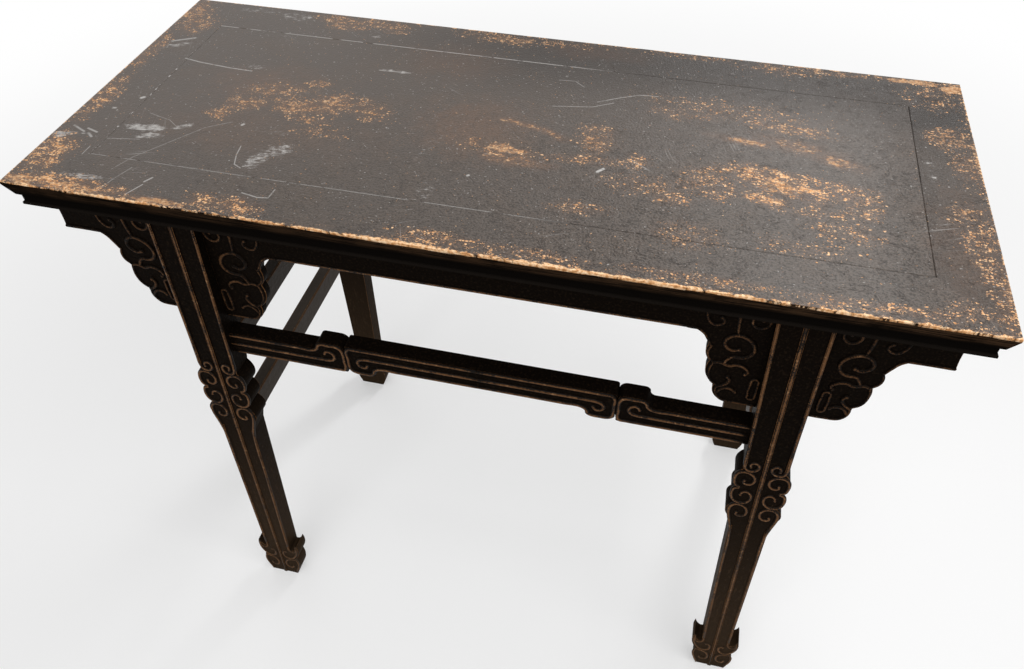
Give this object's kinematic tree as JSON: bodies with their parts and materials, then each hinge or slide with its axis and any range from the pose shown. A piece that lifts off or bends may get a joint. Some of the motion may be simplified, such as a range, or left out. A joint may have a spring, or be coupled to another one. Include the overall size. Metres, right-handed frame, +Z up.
{
  "type": "altar table",
  "caption": "Long narrow altar table with a framed panel top, carved spandrel boards, splayed legs with scroll feet, and long and side stretchers.",
  "frame": {"origin": "on the floor under the middle of the top", "axes": "+X along the length of the table, +Y from its front to its back, +Z up"},
  "size_m": [1.08, 0.4906, 0.85],
  "materials": {
    "top_lacquer": "aged black lacquer, satin, worn through to orange-brown wood at the rims",
    "body_lacquer": "aged black lacquer, satin, rubbed to copper brown on beads and carving",
    "brace_wood": "dark stained, dull"
  },
  "bodies": {
    "root": {"front_long_rail": "top_lacquer", "rear_long_rail": "top_lacquer", "left_end_rail": "top_lacquer", "right_end_rail": "top_lacquer", "top_panel": "top_lacquer", "front_apron": "body_lacquer", "rear_apron": "body_lacquer", "left_end_board": "body_lacquer", "right_end_board": "body_lacquer", "front_stretcher": "body_lacquer", "rear_stretcher": "body_lacquer", "front_left_spandrel": "body_lacquer", "front_right_spandrel": "body_lacquer", "rear_left_spandrel": "body_lacquer", "rear_right_spandrel": "body_lacquer", "front_left_leg": "body_lacquer", "front_right_leg": "body_lacquer", "rear_left_leg": "body_lacquer", "rear_right_leg": "body_lacquer", "left_upper_side_stretcher": "body_lacquer", "left_lower_side_stretcher": "body_lacquer", "right_upper_side_stretcher": "body_lacquer", "right_lower_side_stretcher": "body_lacquer", "transverse_brace_1": "brace_wood", "transverse_brace_2": "brace_wood", "transverse_brace_3": "brace_wood"}
  },
  "joints": []
}
